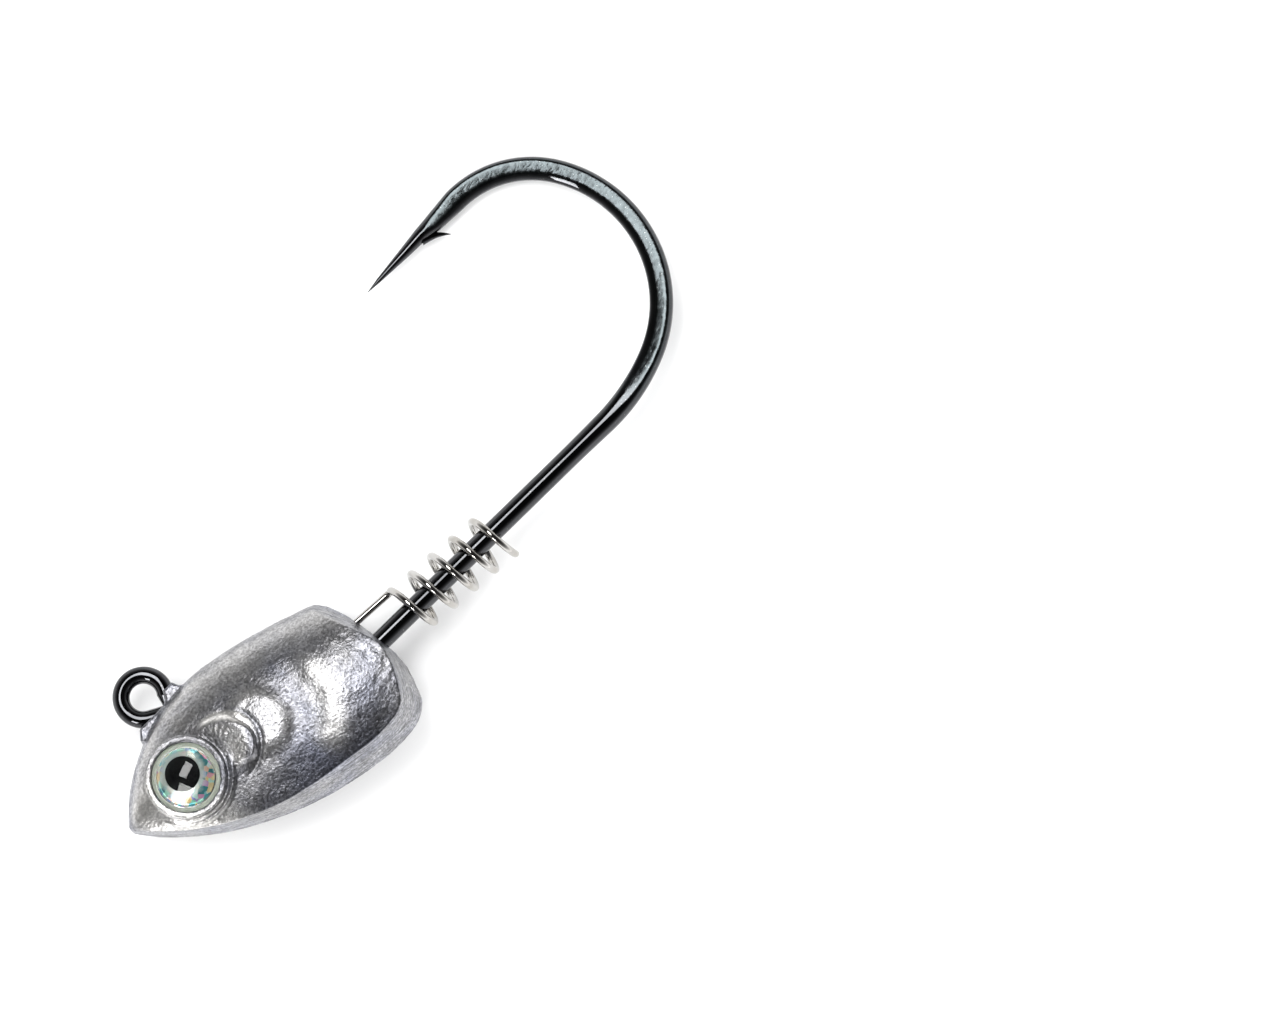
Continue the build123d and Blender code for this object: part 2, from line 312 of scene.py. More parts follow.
class Shader:
    """A material's node tree, with short names for what the materials below use."""

    def __init__(self, name):
        self.material = bpy.data.materials.new(name)
        self.material.use_nodes = True
        self.nodes = self.material.node_tree.nodes
        self.links = self.material.node_tree.links
        self.main = self.nodes["Principled BSDF"]
        self.place = self.nodes.new("ShaderNodeTexCoord").outputs["Object"]

    def link(self, source, target):
        self.links.new(source, target)

    def noise(self, scale, detail=4.0, roughness=0.5, distortion=0.0, vector=None):
        node = self.nodes.new("ShaderNodeTexNoise")
        node.inputs["Scale"].default_value = scale
        node.inputs["Detail"].default_value = detail
        node.inputs["Roughness"].default_value = roughness
        node.inputs["Distortion"].default_value = distortion
        self.link(vector or self.place, node.inputs["Vector"])
        return node.outputs["Fac"]

    def cells(self, scale, output="Distance", vector=None):
        node = self.nodes.new("ShaderNodeTexVoronoi")
        node.inputs["Scale"].default_value = scale
        self.link(vector or self.place, node.inputs["Vector"])
        return node.outputs[output]

    def mapped(self, name, values):
        """The object's coordinates after a mapping node's Scale or Location."""
        node = self.nodes.new("ShaderNodeMapping")
        node.inputs[name].default_value = values
        self.link(self.place, node.inputs["Vector"])
        return node.outputs["Vector"]

    def attribute(self, name):
        node = self.nodes.new("ShaderNodeAttribute")
        node.attribute_name = name
        return node.outputs["Fac"]

    def ramp(self, source, stops):
        """Colours or greys at positions along a 0 to 1 source."""
        node = self.nodes.new("ShaderNodeValToRGB")
        ramp = node.color_ramp
        while len(ramp.elements) < len(stops):
            ramp.elements.new(0.5)
        for element, (position, colour) in zip(ramp.elements, stops):
            element.position = position
            if not isinstance(colour, tuple):
                colour = (colour, colour, colour)
            element.color = (*colour, 1.0)
        self.link(source, node.inputs["Fac"])
        return node.outputs["Color"]

    def math(self, operation, first, second):
        node = self.nodes.new("ShaderNodeMath")
        node.operation = operation
        for socket, value in zip(node.inputs, (first, second)):
            if isinstance(value, (int, float)):
                socket.default_value = value
            else:
                self.link(value, socket)
        return node.outputs["Value"]

    def mix(self, share, first, second, blend="MIX"):
        node = self.nodes.new("ShaderNodeMix")
        node.data_type = "RGBA"
        node.blend_type = blend
        for name, value in (("Factor", share), ("A", first), ("B", second)):
            socket = [s for s in node.inputs if s.name == name and s.enabled][0]
            if isinstance(value, (int, float)):
                socket.default_value = value
            elif isinstance(value, tuple):
                socket.default_value = (*value, 1.0)
            else:
                self.link(value, socket)
        return [s for s in node.outputs if s.enabled][0]

    def bump(self, height, distance, strength, before=None):
        node = self.nodes.new("ShaderNodeBump")
        node.inputs["Distance"].default_value = distance
        node.inputs["Strength"].default_value = strength
        self.link(height, node.inputs["Height"])
        if before:
            self.link(before, node.inputs["Normal"])
        return node.outputs["Normal"]

    def set(self, **values):
        """Sets or links the main shader's sockets: Base_Color stands for Base Color."""
        for name, value in values.items():
            socket = self.main.inputs[name.replace("_", " ")]
            if isinstance(value, bpy.types.NodeSocket):
                self.link(value, socket)
            elif isinstance(value, tuple):
                socket.default_value = (*value, 1.0)
            else:
                socket.default_value = value
        return self.material


def cast_lead():
    """Satin lead: granular skin from the mould, burnished where it has been handled, with painted
    highlights on the relief and painted shade along the belly.
    """
    s = Shader("cast_lead")
    grain = s.noise(3600, 3.0, 0.62)
    coarse = s.noise(900, 4.0, 0.6, 0.6)
    broad = s.noise(170, 3.0, 0.5, 0.4)
    pits = s.cells(1500)
    tone = s.ramp(coarse, ((0.3, (0.22, 0.223, 0.242)), (0.7, (0.33, 0.33, 0.345))))
    fine_tone = s.ramp(grain, ((0.33, 0.40), (0.5, 0.84), (0.66, 1.45)))
    colour = s.mix(0.9, tone, fine_tone, "MULTIPLY")
    tint = s.ramp(broad, ((0.35, (0.82, 0.84, 0.93)), (0.62, (1.0, 0.985, 0.96))))
    colour = s.mix(0.8, colour, tint, "MULTIPLY")
    pit_shade = s.ramp(pits, ((0.03, 0.3), (0.13, 1.0)))
    colour = s.mix(0.5, colour, pit_shade, "MULTIPLY")
    # Painted shade: darker lead along the lower flank, where the mask is set.
    painted_shade_tone = s.mix(1.0, colour, (0.54, 0.55, 0.59), "MULTIPLY")
    colour = s.mix(s.attribute("belly_painted_shade"), colour, painted_shade_tone)
    scratches = s.noise(1300, 3.0, 0.6, 0.2, s.mapped("Scale", (0.3, 0.3, 5.0)))
    scratch_tone = s.ramp(scratches, ((0.36, 0.45), (0.5, 1.0), (0.62, 1.5)))
    scored = s.mix(1.0, colour, scratch_tone, "MULTIPLY")
    colour = s.mix(s.attribute("wall"), colour, scored)
    # Burnish and painted highlight: paler, smoother lead where the mask is set.
    burnish_and_painted_highlight = s.attribute("burnish_and_painted_highlight")
    worn_and_painted_highlight_tone = s.mix(0.45, (0.74, 0.725, 0.70), fine_tone, "MULTIPLY")
    colour = s.mix(burnish_and_painted_highlight, colour, worn_and_painted_highlight_tone)
    rough = s.ramp(coarse, ((0.3, 0.37), (0.7, 0.27)))
    rough = s.mix(burnish_and_painted_highlight, rough, (0.28, 0.28, 0.28))
    hills = s.bump(coarse, 0.00008, 0.5)
    grains = s.bump(grain, 0.00006, 0.8, hills)
    normal = s.bump(pit_shade, 0.00003, 0.5, grains)
    return s.set(Base_Color=colour, Metallic=1.0, Roughness=rough, Normal=normal)


def black_nickel():
    """Polished dark plating on hook wire, with fine drawing marks and hammered flats."""
    s = Shader("black_nickel")
    drawn = s.noise(900, 3.0, 0.5, 0.0, s.mapped("Scale", (0.15, 1.0, 1.0)))
    hammered = s.noise(1500, 2.0, 0.5, 0.3)
    specks = s.noise(6000, 2.0, 0.6)
    colour = s.ramp(drawn, ((0.3, (0.045, 0.046, 0.049)), (0.7, (0.075, 0.076, 0.08))))
    flat = s.attribute("flat")
    colour = s.mix(flat, colour, (0.058, 0.067, 0.070))
    colour = s.mix(s.ramp(specks, ((0.66, 0.0), (0.74, 0.5))), colour, (0.30, 0.30, 0.29))
    rough = s.mix(flat, (0.035, 0.035, 0.035), s.ramp(hammered, ((0.35, 0.14), (0.65, 0.24))))
    dents = s.bump(s.math("MULTIPLY", hammered, flat), 0.00004, 0.7)
    normal = s.bump(drawn, 0.000003, 0.2, dents)
    return s.set(Base_Color=colour, Metallic=1.0, Roughness=rough, Normal=normal)


def bright_nickel():
    """Drawn spring wire, bright plated."""
    s = Shader("bright_nickel")
    drawn = s.noise(2600, 3.0, 0.5, 0.0, s.mapped("Scale", (0.2, 1.0, 1.0)))
    stain = s.noise(420, 3.0, 0.6)
    colour = s.ramp(stain, ((0.32, (0.36, 0.34, 0.31)), (0.6, (0.50, 0.49, 0.475))))
    rough = s.ramp(drawn, ((0.3, 0.04), (0.7, 0.09)))
    normal = s.bump(drawn, 0.00001, 0.3)
    return s.set(Base_Color=colour, Metallic=1.0, Roughness=rough, Normal=normal)


def eye_paper():
    """Pale, slightly green adhesive base that shows round the foil."""
    s = Shader("eye_paper")
    fibre = s.noise(3000, 5.0, 0.6)
    colour = s.ramp(fibre, ((0.3, (0.88, 0.93, 0.80)), (0.7, (0.98, 1.0, 0.93))))
    normal = s.bump(fibre, 0.00001, 0.3)
    return s.set(Base_Color=colour, Roughness=0.45, Normal=normal)


def holographic_foil(centre):
    """Embossed diffraction foil: a white glow round the pupil and small angular patches of
    colour further out."""
    s = Shader("holographic_foil")
    local = s.mapped("Location", tuple(-c for c in centre))
    patches = s.cells(1900, output="Color", vector=local)
    split = s.nodes.new("ShaderNodeSeparateColor")
    s.link(patches, split.inputs["Color"])
    hue = s.ramp(split.outputs["Red"], (
        (0.0, (0.02, 0.20, 0.24)),
        (0.18, (0.08, 0.66, 0.80)),
        (0.34, (0.90, 1.0, 1.0)),
        (0.46, (1.0, 0.72, 0.25)),
        (0.58, (0.98, 0.38, 0.60)),
        (0.72, (0.16, 0.30, 0.90)),
        (0.84, (0.85, 0.95, 1.0)),
        (1.0, (0.30, 0.95, 0.72)),
    ))
    length = s.nodes.new("ShaderNodeVectorMath")
    length.operation = "LENGTH"
    s.link(local, length.inputs[0])
    ripple = s.noise(1500, 2.0, 0.5, 1.0, local)
    reach = s.math("ADD", length.outputs["Value"], s.math("MULTIPLY", ripple, 0.0008))
    outer = s.ramp(s.math("MULTIPLY", reach, 300.0), ((0.69, 0.12), (0.86, 0.95)))
    hue = s.mix(outer, (0.93, 1.0, 0.98), hue)
    emboss = s.bump(split.outputs["Green"], 0.00010, 0.7)
    return s.set(Base_Color=hue, Metallic=0.25, Roughness=0.22, Normal=emboss)


def pupil_ink():
    """Matt black print."""
    s = Shader("pupil_ink")
    film = s.noise(2500, 3.0, 0.5)
    colour = s.ramp(film, ((0.3, (0.003, 0.003, 0.004)), (0.7, (0.012, 0.012, 0.014))))
    normal = s.bump(film, 0.000004, 0.2)
    return s.set(Base_Color=colour, Roughness=0.4, Specular_IOR_Level=0.05, Normal=normal)


def clear_resin():
    """Doming resin, with the faint waviness of a poured drop."""
    s = Shader("clear_resin")
    wave = s.noise(160, 2.0, 0.4)
    haze = s.ramp(s.noise(1800, 3.0, 0.6), ((0.4, 0.0), (0.75, 0.035)))
    normal = s.bump(wave, 0.00001, 0.2)
    return s.set(
        Base_Color=(0.97, 0.99, 0.96),
        Roughness=haze,
        IOR=1.5,
        Normal=normal,
        Transmission_Weight=1.0,
    )


def studio_floor():
    """Plain pale board."""
    s = Shader("studio_floor")
    tone = s.ramp(s.noise(14, 4.0, 0.5), ((0.3, (0.86, 0.865, 0.87)), (0.7, (0.90, 0.90, 0.90))))
    normal = s.bump(s.noise(900, 3.0, 0.5), 0.00002, 0.1)
    return s.set(Base_Color=tone, Roughness=0.6, Normal=normal)


def finish_piece(piece, material, slot, *nodes):
    piece.data.materials.clear()
    piece.data.materials.append(material)
    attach(piece, "root")
    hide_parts(*nodes)


# ---------------------------------------------------------------- hook

def hook_route():
    """The wire's centre line from the tip of the line eye to the point, and the counts of its
    points up to the end of the ring, of the neck and of the bend."""
    ring_start = Vector((math.cos(EYE_TIP_ANGLE), math.sin(EYE_TIP_ANGLE), 0)) * EYE_RADIUS
    clockwise = Vector((math.sin(EYE_TIP_ANGLE), -math.cos(EYE_TIP_ANGLE), 0))
    tip = ring_start + clockwise * EYE_TIP_LENGTH
    route = [tip] + line_points(tip, ring_start, RING_STEP)
    heading = EYE_TIP_ANGLE + math.pi / 2
    around = math.radians(270) - NECK_LEAN - EYE_TIP_ANGLE
    route += arc_points(ring_start, heading, EYE_RADIUS, around, RING_STEP)
    neck_start = route[-1].copy()
    ring_end = len(route)
    along_neck = Vector((math.cos(NECK_LEAN), -math.sin(NECK_LEAN), 0))
    corner = neck_start + along_neck * ((neck_start.y - SHANK_Y) / math.sin(NECK_LEAN))
    bend_in = corner - along_neck * NECK_BEND_RADIUS * math.tan(NECK_LEAN / 2)
    route += line_points(neck_start, bend_in, NECK_STEP)
    neck_end = len(route)
    route += arc_points(bend_in, -NECK_LEAN, NECK_BEND_RADIUS, NECK_LEAN, CORNER_STEP)
    route += line_points(route[-1], Vector((BEND_START_X, SHANK_Y, 0)), SHANK_STEP)
    heading = 0.0
    for radius, turn in BEND_ARCS:
        route += arc_points(route[-1], heading, radius, math.radians(turn), BEND_STEP)
        heading += math.radians(turn)
    bend_end = len(route)
    for x, y, _ in POINT_STATIONS:
        route += line_points(route[-1], Vector((x, y, 0)), RING_STEP)
    return route, (ring_end, neck_end, bend_end)


def hook_radii(route, ends):
    """The wire's radius at each point of its centre line."""
    ring_end, neck_end, bend_end = ends
    point_x = [x for x, _, _ in reversed(POINT_STATIONS)] + [route[bend_end - 1].x]
    point_radii = [radius for _, _, radius in reversed(POINT_STATIONS)] + [BEND_WIRE_RADIUS]
    radii = []
    for index, point in enumerate(route):
        if index < ring_end:
            share = min(1.0, (point - route[0]).length / EYE_TIP_LENGTH)
            radius = EYE_TIP_RADIUS + (EYE_WIRE_RADIUS - EYE_TIP_RADIUS) * share
        elif index < neck_end:
            share = (index - ring_end) / (neck_end - ring_end)
            radius = EYE_WIRE_RADIUS + (SHANK_RADIUS - EYE_WIRE_RADIUS) * share
        elif index < bend_end:
            spread = float(smoothstep(*WIDENED_SHANK_SIDE, point.x)) if point.y < 0 else 1.0
            radius = SHANK_RADIUS + (BEND_WIRE_RADIUS - SHANK_RADIUS) * spread
        else:
            radius = float(np.interp(point.x, point_x, point_radii))
        radii.append(radius)
    return radii


def hook_forging(route, ends):
    """How far the wire is forged at each point of its centre line, from 0 to 1."""
    _, neck_end, bend_end = ends
    forging = []
    for index, point in enumerate(route):
        if index < neck_end:
            amount = 0.0
        elif index < bend_end and point.y < 0:
            amount = float(smoothstep(*FORGED_SHANK_SIDE, point.x))
        else:
            amount = float(smoothstep(*FORGED_POINT_SIDE, point.x))
        forging.append(amount)
    return forging


def rounded_start(route, radii, forging):
    """Turns the cut start of the wire into a rounded end."""
    cap = 5
    bulge = 0.7
    first = route[0].copy()
    back = (route[0] - route[1]).normalized()
    radius = radii[0]
    new_points = []
    new_radii = []
    for k in range(cap):
        angle = math.pi / 2 * (k + 0.35) / cap
        new_points.append(first + back * radius * bulge * math.cos(angle))
        new_radii.append(radius * math.sin(angle))
    return new_points + route, new_radii + radii, [0.0] * cap + forging


def forged_ring(radius, past, forging):
    """The wire's section, pressed between leaning dies. past is how far round the bend it is."""
    lean = math.tan(FLAT_LEAN[0] + (FLAT_LEAN[1] - FLAT_LEAN[0]) * past)
    ring = []
    for across, up in round_ring(radius, HOOK_SEGMENTS):
        rounding = (0.15 + 0.4 * past) * max(0.0, across - 0.25) ** 2
        limit = FLAT_HALF - across * lean - rounding
        limit = ROUND_HALF + (limit - ROUND_HALF) * forging
        squash = 1 + (abs(up) / limit) ** FLAT_EDGE_POWER
        ring.append((across, up / squash ** (1 / FLAT_EDGE_POWER)))
    return ring


def make_hook():
    centre_line, ends = hook_route()
    radii = hook_radii(centre_line, ends)
    forging = hook_forging(centre_line, ends)
    route, radii, forging = rounded_start(centre_line, radii, forging)
    low, high = FLAT_LEAN_Y
    sides = []
    rings = []
    for index, point in enumerate(route):
        ahead = route[min(index + 1, len(route) - 1)] - route[max(index - 1, 0)]
        sides.append(Vector((-ahead.y, ahead.x, 0)).normalized())
        past = min(1.0, max(0.0, (point.y - low) / (high - low)))
        rings.append(forged_ring(radii[index], past, forging[index]))
    wire = tube("hook_wire", route, sides, rings, HOOK_SEGMENTS)
    fix_normals(wire)
    barb = make_barb()
    union = wire.modifiers.new("barb", "BOOLEAN")
    union.operation = "UNION"
    union.solver = "EXACT"
    union.object = barb
    apply_modifiers(wire)
    bpy.data.objects.remove(barb)
    wire.data.polygons.foreach_set("use_smooth", [True] * len(wire.data.polygons))
    shade_by_angle(wire, 38)
    mark_flats(wire)
    return wire


def mark_flats(wire):
    """Stores where the dies have pressed the wire flat."""
    mesh = wire.data
    values = mesh.attributes.new("flat", "FLOAT", "POINT")
    for vertex in mesh.vertices:
        x, y, z = vertex.co / MM
        level = float(smoothstep(*MARKED_HALF, abs(z)))
        along = float(smoothstep(*(MARKED_SHANK_SIDE if y < 0 else MARKED_POINT_SIDE), x))
        values.data[vertex.index].value = level * along


def make_barb():
    """A thorn cut up from the inside of the point leg, curving back towards the bend."""
    across = (BARB_TIP - BARB_ROOT).normalized()
    side = Vector((-across.y, across.x, 0))
    centres = []
    sides = []
    rings = []
    steps = 14
    for k in range(steps + 1):
        share = k / steps
        centre = BARB_ROOT.lerp(BARB_TIP, share) + side * BARB_BOW * math.sin(math.pi * share)
        centres.append(centre)
        sides.append(side)
        width = 0.52 * (1 - share) ** 0.9 + 0.02
        depth = 0.46 * (1 - share) ** 0.8 + 0.03
        rings.append([(a * width, b * depth) for a, b in round_ring(1.0, BARB_SEGMENTS)])
    barb = tube("barb", centres, sides, rings, BARB_SEGMENTS)
    fix_normals(barb)
    return barb


# ---------------------------------------------------------------- keeper

def coil_points(axis, up, out):
    """The coil's centre line, flared a little at its free end."""
    per_turn = 72
    count = int(COIL_TURNS * per_turn)
    points = []
    for k in range(count + 1):
        angle = 2 * math.pi * k / per_turn
        flare = float(smoothstep(count - 14, count, k)) * 0.12
        centre = COIL_START + axis * COIL_PITCH * k / per_turn
        radial = up * math.cos(angle) + out * math.sin(angle)
        points.append(centre + radial * (COIL_RADIUS + flare - 0.03 * math.sin(angle * 0.37)))
    return points


def leg_points(coil_start, tangent):
    """The leg's centre line, from its hidden anchor in the lead to the corner before the coil."""
    along_leg = Vector((math.cos(LEG_SLOPE), math.sin(LEG_SLOPE), 0))
    turn = along_leg.angle(tangent)
    reach = CORNER_RADIUS * math.tan(turn / 2)
    corner = coil_start - tangent * reach
    leg_end = corner - along_leg * reach
    inward = (tangent - along_leg).normalized()
    middle = corner + inward * (CORNER_RADIUS / math.cos(turn / 2))
    leg_start = leg_end - along_leg * (leg_end.x - LEG_END_X)
    steps = 12
    bend = []
    for k in range(1, steps):
        blend = (leg_end - middle).lerp(coil_start - middle, k / steps).normalized()
        bend.append(middle + blend * CORNER_RADIUS)
    foot = arc_points(leg_start, LEG_SLOPE + math.pi, ANCHOR_RADIUS, -math.pi / 2, 0.15)
    foot_end = foot[-1] + (foot[-1] - foot[-2]).normalized() * ANCHOR_LENGTH
    route = [foot_end] + line_points(foot_end, foot[-1], 0.3) + list(reversed(foot[:-1]))
    return route + [leg_start] + line_points(leg_start, leg_end, 0.2) + bend


def make_keeper():
    axis = Vector((math.cos(COIL_TILT), math.sin(COIL_TILT), 0))
    up = Vector((-math.sin(COIL_TILT), math.cos(COIL_TILT), 0))
    out = Vector((0, 0, 1))
    coil = coil_points(axis, up, out)
    tangent = (out * COIL_RADIUS * 2 * math.pi + axis * COIL_PITCH).normalized()
    route = leg_points(coil[0], tangent) + coil
    sides = []
    side = out
    for index in range(len(route)):
        ahead = (route[min(index + 1, len(route) - 1)] - route[max(index - 1, 0)]).normalized()
        side = (side - ahead * side.dot(ahead)).normalized()
        sides.append(side.copy())
    rings = [round_ring(KEEPER_RADIUS, KEEPER_SEGMENTS) for _ in route]
    rings[-1] = round_ring(KEEPER_RADIUS * 0.82, KEEPER_SEGMENTS)
    wire = tube("keeper_wire", route, sides, rings, KEEPER_SEGMENTS)
    fix_normals(wire)
    shade_by_angle(wire, 50)
    return wire


# ---------------------------------------------------------------- lead head

def beyond(x, y, centre, stretch, radius):
    """Distance of points outside an ellipse's edge, negative inside it."""
    return np.hypot((x - centre[0]) / stretch[0], (y - centre[1]) / stretch[1]) - radius


def bearing_from(x, y, centre):
    """Bearing of points from a centre: 0 towards the hook, positive towards the back."""
    return np.arctan2(y - centre[1], x - centre[0])


def hump(value, width):
    """1 where value is 0, falling away on both sides."""
    return np.exp(-(value / width) ** 2)


def gill_relief(x, y, away):
    """The gill plate rises slowly from the eye and falls away along a curved edge: a broad slope
    on top, a tight step behind and a long fade below. Gives the distance beyond that edge, the
    bearing from the plate's centre, the plate's height, the groove behind it and the slope's
    burnish with painted highlight."""
    gill = beyond(x, y, GILL_CENTRE, GILL_STRETCH, GILL_RADIUS)
    bearing = bearing_from(x, y, GILL_CENTRE)
    upper = smoothstep(-0.5, 0.45, bearing)
    slope = 0.40 + 0.7 * upper - 0.4 * smoothstep(0.9, 1.6, bearing)
    slope += 2.2 * smoothstep(-0.9, -1.7, bearing)
    fan = between(bearing, (-1.75, -1.35), (1.3, 1.75))
    edge = 1 - smoothstep(-slope, 0.12, gill)
    plate = (0.5 + 0.1 * upper) * np.clip((away - 4.1) / 3.0, 0, 1) * edge
    groove = -0.12 * hump(gill - 0.35, 0.26) * fan * smoothstep(0.7, 0.1, bearing)
    # Burnish and painted highlight along the plate's slope.
    burnish_and_painted_shine = fan * upper * smoothstep(-slope, -slope / 2, gill) * (1 - smoothstep(-0.1, 0.4, gill))
    return gill, bearing, plate, groove, burnish_and_painted_shine


def scale_relief(x, y, gill):
    """Behind the gill a lower scale, then a valley, and a third scale with a soft front edge.
    Gives the second scale's height, that of what lies behind it, and their burnish with painted
    highlight."""
    second = beyond(x, y, SECOND_CENTRE, SECOND_STRETCH, SECOND_RADIUS)
    scale = 0.30 * (1 - smoothstep(-1.5, 0.25, second))
    valley = -0.05 * hump(beyond(x, y, VALLEY_CENTRE, (1, 1), VALLEY_RADIUS), 0.9)
    valley *= between(bearing_from(x, y, VALLEY_CENTRE), (-0.9, -0.5), (0.45, 0.85))
    front = beyond(x, y, THIRD_CENTRE, (1, 1), THIRD_RADIUS)
    lower = between(bearing_from(x, y, THIRD_CENTRE), (-1.3, -0.95), (0.0, 0.5))
    third = 0.24 * smoothstep(-0.7, 1.1, front) * lower * (1 - smoothstep(2.0, 8.0, front))
    # Burnish and painted highlight over the second scale and the third scale's front.
    burnish_and_painted_shine = 0.3 * (1 - smoothstep(-1.0, 0.1, second)) * smoothstep(0.3, 0.8, gill)
    burnish_and_painted_shine += 0.5 * lower * hump(front - 1.0, 1.4)
    return scale, valley + third, burnish_and_painted_shine


def handled_burnish_and_painted_shine(x, y):
    """Burnish from handling, with painted highlight: under and in front of the eye, at the rear
    and along the back.
    """
    burnish_and_painted_shine = 0.7 * smoothstep(-12.4, -14.0, y) * smoothstep(0.5, -2.5, x)
    burnish_and_painted_shine += 0.75 * smoothstep(-2.5, -5.5, x) * smoothstep(-6.0, -8.0, y)
    burnish_and_painted_shine += 0.12 * smoothstep(17.0, 20.0, x) * smoothstep(-17.5, -15.0, y)
    from_back = y - np.interp(x, BACK_X, BACK_Y)
    burnish_and_painted_shine += 0.7 * smoothstep(-1.5, -0.6, from_back) * smoothstep(6.5, 2.5, x)
    return burnish_and_painted_shine + 0.3 * smoothstep(-4.8, -2.4, from_back)


def flank_relief(x, y, side, eye_centre):
    """Height of the moulded relief, in millimetres, over a flank, how much burnish and painted
    highlight it has, and how much painted shade lies along the belly."""
    flank = smoothstep(1.6, 3.2, side)
    away = np.hypot(x - eye_centre.x, y - eye_centre.y)
    bearing = bearing_from(x, y, eye_centre)
    gill, gill_bearing, plate, groove, gill_burnish_and_painted_shine = gill_relief(x, y, away)
    scale, behind, scale_burnish_and_painted_shine = scale_relief(x, y, gill)
    eyelid = 0.22 * hump(away - 4.75, 0.26) * between(bearing, (-2.9, -2.4), (-0.7, -0.2))

    # Fine spokes between the eye and the gill edge.
    inside = smoothstep(4.6, 5.8, away) * (1 - smoothstep(-1.5, -0.6, gill))
    spokes = 0.016 * np.sin(bearing * 58 + 3 * np.sin(away * 1.7)) * inside

    outside_socket = smoothstep(4.0, 4.35, away)
    raised = np.maximum(plate, scale) + groove + spokes + eyelid
    height = flank * (outside_socket * raised + behind)
    burnish_and_painted_shine = gill_burnish_and_painted_shine + scale_burnish_and_painted_shine + handled_burnish_and_painted_shine(x, y)
    # Burnish and painted highlight over the spokes between the eye and the gill edge.
    burnish_and_painted_shine += inside * (0.4 + 0.3 * smoothstep(0.6, -0.6, gill_bearing))
    # Painted shade along the lower flank, over the belly.
    belly = smoothstep(-13.6, -16.4, y + 0.12 * np.abs(x - 8))
    painted_shade_amount = belly * between(x, (-1.5, 1.5), (13.0, 19.0))
    return height, np.clip(burnish_and_painted_shine * flank, 0, 1), painted_shade_amount * flank


def make_head(eye_centre):
    """The CAD head's surface, remeshed finely enough to carry the relief."""
    source = frame["nodes"]["lead_head"].data
    work = bmesh.new()
    work.from_mesh(source)
    bmesh.ops.remove_doubles(work, verts=work.verts, dist=2e-6)
    bmesh.ops.scale(work, vec=(1 / MM, 1 / MM, 1 / MM), verts=work.verts)
    mesh = bpy.data.meshes.new("lead_casting")
    work.to_mesh(mesh)
    work.free()
    head = bpy.data.objects.new("lead_casting", mesh)
    bpy.context.scene.collection.objects.link(head)
    remesh = head.modifiers.new("remesh", "REMESH")
    remesh.mode = "VOXEL"
    remesh.voxel_size = VOXEL
    soften = head.modifiers.new("soften", "SMOOTH")
    soften.factor = 0.5
    soften.iterations = 5
    apply_modifiers(head)
    sculpt_head(head, eye_centre)
    head.data.transform(Matrix.Scale(MM, 4))
    head.data.polygons.foreach_set("use_smooth", [True] * len(head.data.polygons))
    head.data.update()
    return head


def grain_field(points, scale, seed):
    """Smooth noise at points in millimetres, from -1 to 1."""
    shift = Vector((seed * 17.3, seed * 5.1, seed * 9.7))
    return np.array([noise.noise(Vector(p) * scale + shift) for p in points])


def sculpt_head(head, eye_centre):
    """Moves the head's points out along their normals by the moulded and cast relief."""
    mesh = head.data
    count = len(mesh.vertices)
    points = np.empty(count * 3)
    normals = np.empty(count * 3)
    mesh.vertices.foreach_get("co", points)
    mesh.vertex_normals.foreach_get("vector", normals)
    points = points.reshape(-1, 3)
    normals = normals.reshape(-1, 3)
    x, y, z = points.T
    facing = smoothstep(0.25, 0.6, np.abs(normals[:, 2]))
    height, burnish_and_painted_shine, painted_shade_amount = flank_relief(x, y, np.abs(z), eye_centre)
    height = height * facing
    on_wall = 1 - smoothstep(0.3, 0.6, np.abs(normals[:, 2]))
    height += PARTING_HEIGHT * hump(z, PARTING_WIDTH) * on_wall
    for depth, scale, seed in CAST_NOISE:
        height += depth * grain_field(points, scale, seed)
    edges = smoothstep(16.5, 20.0, x) + 0.35 * smoothstep(-3.5, -6.5, x)
    depth, scale, seed = EDGE_NOISE
    height += depth * edges * grain_field(points, scale, seed)

    # The lead stays true where the shank leaves it.
    clear_of_shank = smoothstep(1.5, 2.2, np.hypot(y - SHANK_Y, z)) + smoothstep(21.5, 20.0, x)
    height *= np.clip(clear_of_shank, 0, 1)
    points += normals * height[:, None]
    mesh.vertices.foreach_set("co", points.ravel())
    mesh.update()
    # For the lead's material: burnish with painted highlight, painted shade along the belly, and
    # the walls for scratches.
    stored = {"burnish_and_painted_highlight": burnish_and_painted_shine * facing, "belly_painted_shade": painted_shade_amount * facing, "wall": 1 - facing}
    for name, values in stored.items():
        store = mesh.attributes.new(name, "FLOAT", "POINT")
        store.data.foreach_set("value", values.astype(np.float32))


# ---------------------------------------------------------------- eyes

def eye_place(side):
    """Where an eye's backing sits, as a matrix in millimetres, from the CAD disc's box."""
    low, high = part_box(side + "_eye_backing")
    middle = (low + high) / 2 / MM
    turn = Matrix.Rotation(EYE_ROLL, 4, "X") @ Matrix.Rotation(EYE_LEAN, 4, "Y")
    if side == "right":
        turn = Matrix.Scale(-1, 4, (0, 0, 1)) @ turn
    shift = turn @ Vector((0, 0, -BACKING_THICKNESS / 2))
    return Matrix.Translation(middle + shift) @ turn


def make_backing(side, place):
    """The paper disc, with a shallow groove round its rim."""
    rim = DOME_RADIUS
    top = BACKING_THICKNESS
    return lathe(side + "_eye_paper_base", (
        (0, 0), (rim - 0.08, 0), (rim - 0.02, 0.05), (rim - 0.02, top - 0.07),
        (rim - 0.1, top - 0.02), (rim - 0.28, top - 0.02), (rim - 0.32, top - 0.06),
        (rim - 0.5, top - 0.06), (FOIL_RADIUS, top - 0.03), (0.01, top - 0.03), (0, top - 0.03),
    ), place)


